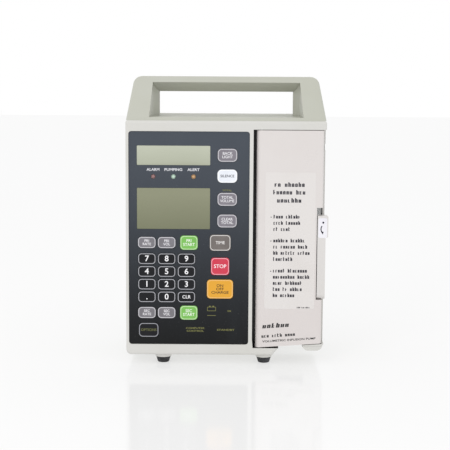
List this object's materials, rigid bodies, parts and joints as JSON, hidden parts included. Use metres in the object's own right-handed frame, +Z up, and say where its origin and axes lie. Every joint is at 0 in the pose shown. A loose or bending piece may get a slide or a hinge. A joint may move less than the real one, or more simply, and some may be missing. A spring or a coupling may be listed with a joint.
{
  "type": "infusion pump",
  "caption": "Bench and pole-mounted infusion pump with a keypad and two displays on the left, a latched door over the tubing channel on the right, a carrying handle and a rear pole clamp.",
  "frame": {"origin": "on the table, in the middle of the overall footprint", "axes": "+Z up, the keypad and door face -Y, +X to the operator's right"},
  "size_m": [0.1988, 0.171, 0.2841],
  "materials": {
    "bezel": "satin moulded",
    "casing": "fine grain",
    "door": "satin painted",
    "panel": "printed film",
    "display": "grey-green",
    "lamp": "clear",
    "key_grey": "printed",
    "key_white": "printed",
    "key_brown": "printed",
    "key_red": "printed",
    "key_amber": "printed",
    "key_green": "printed",
    "key_black": "printed",
    "rubber": "matte",
    "steel": "bright",
    "aluminium": "cast",
    "board": "lacquered",
    "battery": "moulded",
    "black_plastic": "moulded",
    "white_plastic": "moulded",
    "lever": "moulded",
    "brass": "drawn"
  },
  "bodies": {
    "casing": {"front_case": "bezel", "rear_case": "casing", "carry_handle": "casing", "rubber_feet": "rubber", "case_screws": "steel", "keypad_overlay": "panel", "lcd_modules": "display", "status_leds": "lamp", "display_board": "board", "main_board": "board", "battery_pack": "battery", "power_transformer": "steel", "power_inlet": "black_plastic", "tube_plate": "white_plastic", "pump_frame": "aluminium", "pump_fingers": "white_plastic", "camshaft_bearings": "steel", "stepper_motor": "steel", "drive_belt": "rubber", "tube_sensors": "black_plastic", "hinge_pins": "steel", "clamp_bracket": "aluminium"},
    "door": {"door_cover": "door", "door_liner": "bezel", "pressure_springs": "steel"},
    "lever": {"latch_lever": "lever"},
    "slide": {"latch_slide": "steel"},
    "platen": {"pressure_plate": "steel"},
    "blade": {"tube_clamp": "steel"},
    "cams": {"camshaft": "steel"},
    "motor_rotor": {"motor_pulley": "brass"},
    "pad": {"clamp_pad": "rubber"},
    "screw": {"clamp_screw": "steel", "clamp_knob": "black_plastic"},
    "pad_7": {"key_7": "key_black"},
    "pad_8": {"key_8": "key_black"},
    "pad_9": {"key_9": "key_black"},
    "pad_4": {"key_4": "key_black"},
    "pad_5": {"key_5": "key_black"},
    "pad_6": {"key_6": "key_black"},
    "pad_1": {"key_1": "key_black"},
    "pad_2": {"key_2": "key_black"},
    "pad_3": {"key_3": "key_black"},
    "pad_point": {"key_point": "key_black"},
    "pad_0": {"key_0": "key_black"},
    "pad_clear": {"key_clear": "key_black"},
    "pad_rate_primary": {"key_rate_primary": "key_grey"},
    "pad_volume_primary": {"key_volume_primary": "key_grey"},
    "pad_start_primary": {"key_start_primary": "key_green"},
    "pad_rate_secondary": {"key_rate_secondary": "key_grey"},
    "pad_volume_secondary": {"key_volume_secondary": "key_grey"},
    "pad_start_secondary": {"key_start_secondary": "key_green"},
    "pad_options": {"key_options": "key_black"},
    "pad_backlight": {"key_backlight": "key_grey"},
    "pad_silence": {"key_silence": "key_white"},
    "pad_status": {"key_status": "key_grey"},
    "pad_reset_total": {"key_reset_total": "key_grey"},
    "pad_time": {"key_time": "key_brown"},
    "pad_stop": {"key_stop": "key_red"},
    "pad_on_off": {"key_on_off": "key_amber"}
  },
  "joints": [
    {"name": "door_swing", "type": "hinge", "parent": "casing", "child": "door", "pos_m": [0.0335, -0.0805, 0.125], "axis": [0, 0, -1], "range_deg": [0, 105]},
    {"name": "latch_turn", "type": "hinge", "parent": "door", "child": "lever", "pos_m": [0.088, -0.0805, 0.072], "axis": [1, 0, 0], "range_deg": [0, 55]},
    {"name": "latch_lift", "type": "slide", "parent": "door", "child": "slide", "axis": [0, 0, 1], "range_m": [0, 0.00411]},
    {"name": "platen_float", "type": "slide", "parent": "door", "child": "platen", "axis": [0, -1, 0], "range_m": [0, 0.0015], "stiffness_N_per_m": 4000, "springref_m": -0.001, "deforming": ["pressure_springs"]},
    {"name": "tube_clamp_close", "type": "slide", "parent": "casing", "child": "blade", "axis": [0, -1, 0], "range_m": [0, 0.0042], "stiffness_N_per_m": 500, "springref_m": -0.001},
    {"name": "camshaft_spin", "type": "hinge", "parent": "casing", "child": "cams", "pos_m": [0.06125, -0.0252, 0.138], "axis": [0, 0, 1], "continuous": true},
    {"name": "motor_spin", "type": "hinge", "parent": "casing", "child": "motor_rotor", "pos_m": [0.06125, 0.0128, 0.098], "axis": [0, 0, 1], "continuous": true},
    {"name": "clamp_advance", "type": "slide", "parent": "casing", "child": "pad", "axis": [-1, 0, 0], "range_m": [0, 0.02101]},
    {"name": "clamp_turn", "type": "hinge", "parent": "pad", "child": "screw", "pos_m": [0.0533, 0.0665, 0.135], "axis": [-1, 0, 0], "range_deg": [0, 3024]},
    {"name": "press_7", "type": "slide", "parent": "casing", "child": "pad_7", "axis": [0, 1, 0], "range_m": [0, 0.0005], "stiffness_N_per_m": 600, "springref_m": -0.0003},
    {"name": "press_8", "type": "slide", "parent": "casing", "child": "pad_8", "axis": [0, 1, 0], "range_m": [0, 0.0005], "stiffness_N_per_m": 600, "springref_m": -0.0003},
    {"name": "press_9", "type": "slide", "parent": "casing", "child": "pad_9", "axis": [0, 1, 0], "range_m": [0, 0.0005], "stiffness_N_per_m": 600, "springref_m": -0.0003},
    {"name": "press_4", "type": "slide", "parent": "casing", "child": "pad_4", "axis": [0, 1, 0], "range_m": [0, 0.0005], "stiffness_N_per_m": 600, "springref_m": -0.0003},
    {"name": "press_5", "type": "slide", "parent": "casing", "child": "pad_5", "axis": [0, 1, 0], "range_m": [0, 0.0005], "stiffness_N_per_m": 600, "springref_m": -0.0003},
    {"name": "press_6", "type": "slide", "parent": "casing", "child": "pad_6", "axis": [0, 1, 0], "range_m": [0, 0.0005], "stiffness_N_per_m": 600, "springref_m": -0.0003},
    {"name": "press_1", "type": "slide", "parent": "casing", "child": "pad_1", "axis": [0, 1, 0], "range_m": [0, 0.0005], "stiffness_N_per_m": 600, "springref_m": -0.0003},
    {"name": "press_2", "type": "slide", "parent": "casing", "child": "pad_2", "axis": [0, 1, 0], "range_m": [0, 0.0005], "stiffness_N_per_m": 600, "springref_m": -0.0003},
    {"name": "press_3", "type": "slide", "parent": "casing", "child": "pad_3", "axis": [0, 1, 0], "range_m": [0, 0.0005], "stiffness_N_per_m": 600, "springref_m": -0.0003},
    {"name": "press_point", "type": "slide", "parent": "casing", "child": "pad_point", "axis": [0, 1, 0], "range_m": [0, 0.0005], "stiffness_N_per_m": 600, "springref_m": -0.0003},
    {"name": "press_0", "type": "slide", "parent": "casing", "child": "pad_0", "axis": [0, 1, 0], "range_m": [0, 0.0005], "stiffness_N_per_m": 600, "springref_m": -0.0003},
    {"name": "press_clear", "type": "slide", "parent": "casing", "child": "pad_clear", "axis": [0, 1, 0], "range_m": [0, 0.0005], "stiffness_N_per_m": 600, "springref_m": -0.0003},
    {"name": "press_rate_primary", "type": "slide", "parent": "casing", "child": "pad_rate_primary", "axis": [0, 1, 0], "range_m": [0, 0.0005], "stiffness_N_per_m": 600, "springref_m": -0.0003},
    {"name": "press_volume_primary", "type": "slide", "parent": "casing", "child": "pad_volume_primary", "axis": [0, 1, 0], "range_m": [0, 0.0005], "stiffness_N_per_m": 600, "springref_m": -0.0003},
    {"name": "press_start_primary", "type": "slide", "parent": "casing", "child": "pad_start_primary", "axis": [0, 1, 0], "range_m": [0, 0.0005], "stiffness_N_per_m": 600, "springref_m": -0.0003},
    {"name": "press_rate_secondary", "type": "slide", "parent": "casing", "child": "pad_rate_secondary", "axis": [0, 1, 0], "range_m": [0, 0.0005], "stiffness_N_per_m": 600, "springref_m": -0.0003},
    {"name": "press_volume_secondary", "type": "slide", "parent": "casing", "child": "pad_volume_secondary", "axis": [0, 1, 0], "range_m": [0, 0.0005], "stiffness_N_per_m": 600, "springref_m": -0.0003},
    {"name": "press_start_secondary", "type": "slide", "parent": "casing", "child": "pad_start_secondary", "axis": [0, 1, 0], "range_m": [0, 0.0005], "stiffness_N_per_m": 600, "springref_m": -0.0003},
    {"name": "press_options", "type": "slide", "parent": "casing", "child": "pad_options", "axis": [0, 1, 0], "range_m": [0, 0.0005], "stiffness_N_per_m": 600, "springref_m": -0.0003},
    {"name": "press_backlight", "type": "slide", "parent": "casing", "child": "pad_backlight", "axis": [0, 1, 0], "range_m": [0, 0.0005], "stiffness_N_per_m": 600, "springref_m": -0.0003},
    {"name": "press_silence", "type": "slide", "parent": "casing", "child": "pad_silence", "axis": [0, 1, 0], "range_m": [0, 0.0005], "stiffness_N_per_m": 600, "springref_m": -0.0003},
    {"name": "press_status", "type": "slide", "parent": "casing", "child": "pad_status", "axis": [0, 1, 0], "range_m": [0, 0.0005], "stiffness_N_per_m": 600, "springref_m": -0.0003},
    {"name": "press_reset_total", "type": "slide", "parent": "casing", "child": "pad_reset_total", "axis": [0, 1, 0], "range_m": [0, 0.0005], "stiffness_N_per_m": 600, "springref_m": -0.0003},
    {"name": "press_time", "type": "slide", "parent": "casing", "child": "pad_time", "axis": [0, 1, 0], "range_m": [0, 0.0005], "stiffness_N_per_m": 600, "springref_m": -0.0003},
    {"name": "press_stop", "type": "slide", "parent": "casing", "child": "pad_stop", "axis": [0, 1, 0], "range_m": [0, 0.0005], "stiffness_N_per_m": 600, "springref_m": -0.0003},
    {"name": "press_on_off", "type": "slide", "parent": "casing", "child": "pad_on_off", "axis": [0, 1, 0], "range_m": [0, 0.0005], "stiffness_N_per_m": 600, "springref_m": -0.0003}
  ],
  "couplings": [
    {"joint": "latch_lift", "follows": "latch_turn", "m_per_rad": 0.0042667},
    {"joint": "motor_spin", "follows": "camshaft_spin", "ratio": 2.5},
    {"joint": "clamp_advance", "follows": "clamp_turn", "m_per_rad": 0.00039789}
  ]
}
